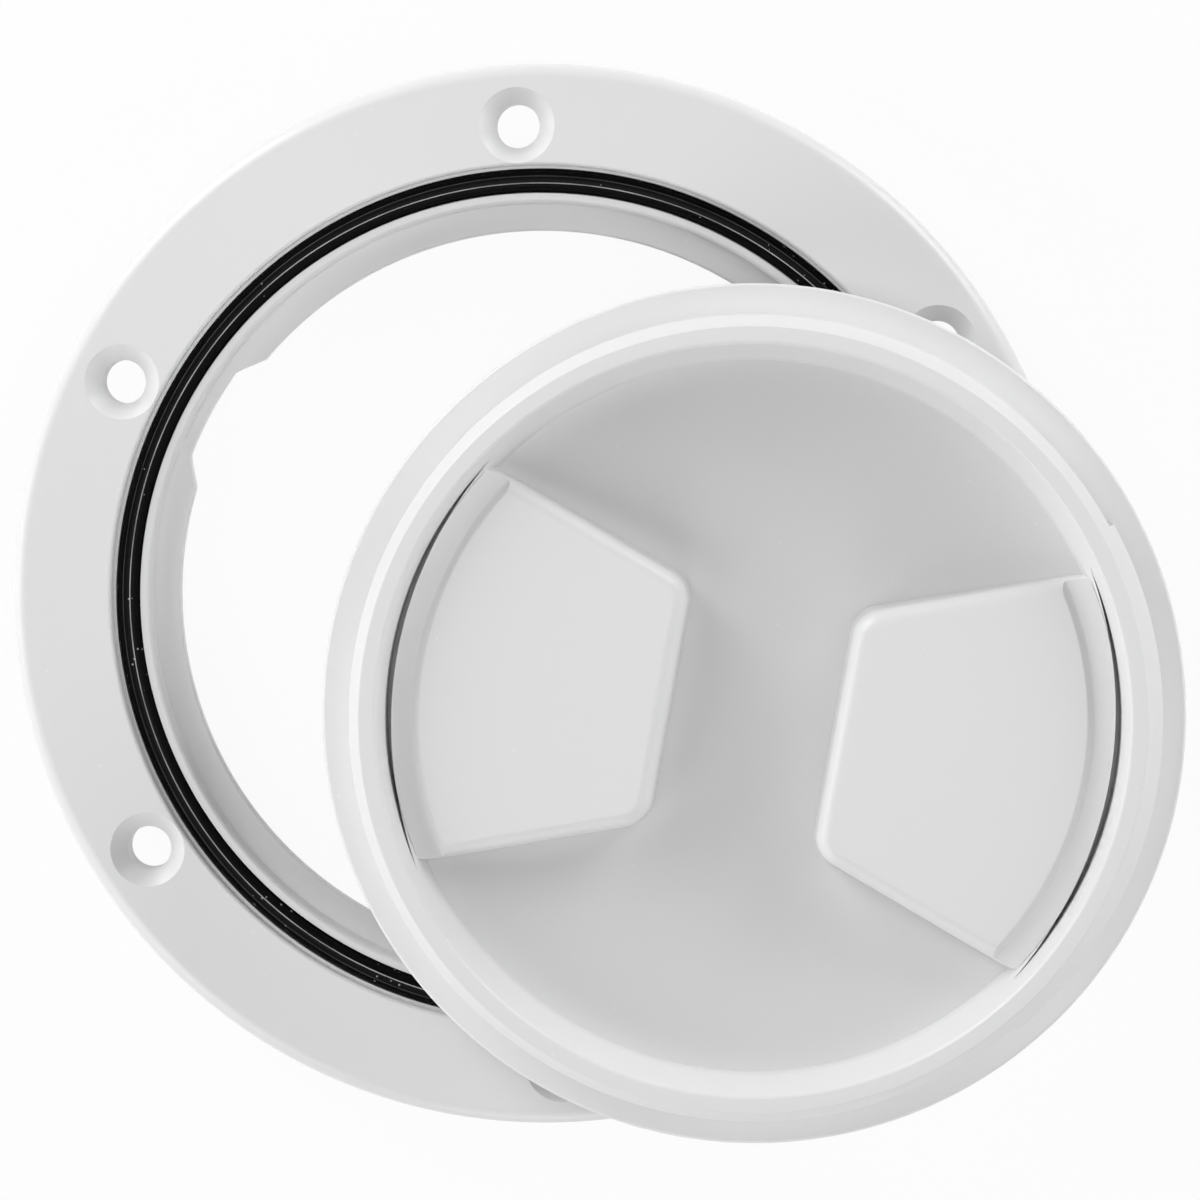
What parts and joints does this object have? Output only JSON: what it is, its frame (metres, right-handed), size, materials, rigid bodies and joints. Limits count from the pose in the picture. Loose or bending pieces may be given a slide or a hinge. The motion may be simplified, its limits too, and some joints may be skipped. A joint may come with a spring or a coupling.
{
  "type": "deck inspection plate",
  "caption": "Round deck inspection plate: countersunk flange ring with a rubber seal in its recess, and a dished twist-out lid with two finger pads, taken out and laid on the ring.",
  "frame": {"origin": "on the ring's axis, in the plane of the flange's underside that meets the deck", "axes": "+Z along the ring's axis, out of the deck; +X towards the side where the lid lies, to the right in the picture, and +Y up in the picture"},
  "size_m": [0.1648, 0.15, 0.0321],
  "materials": {
    "white_shell": "satin moulded white plastic",
    "black_seal": "black greased rubber"
  },
  "bodies": {
    "root": {"deck_ring": "white_shell", "screw_lid": "white_shell", "seal_ring": "black_seal"}
  },
  "joints": []
}
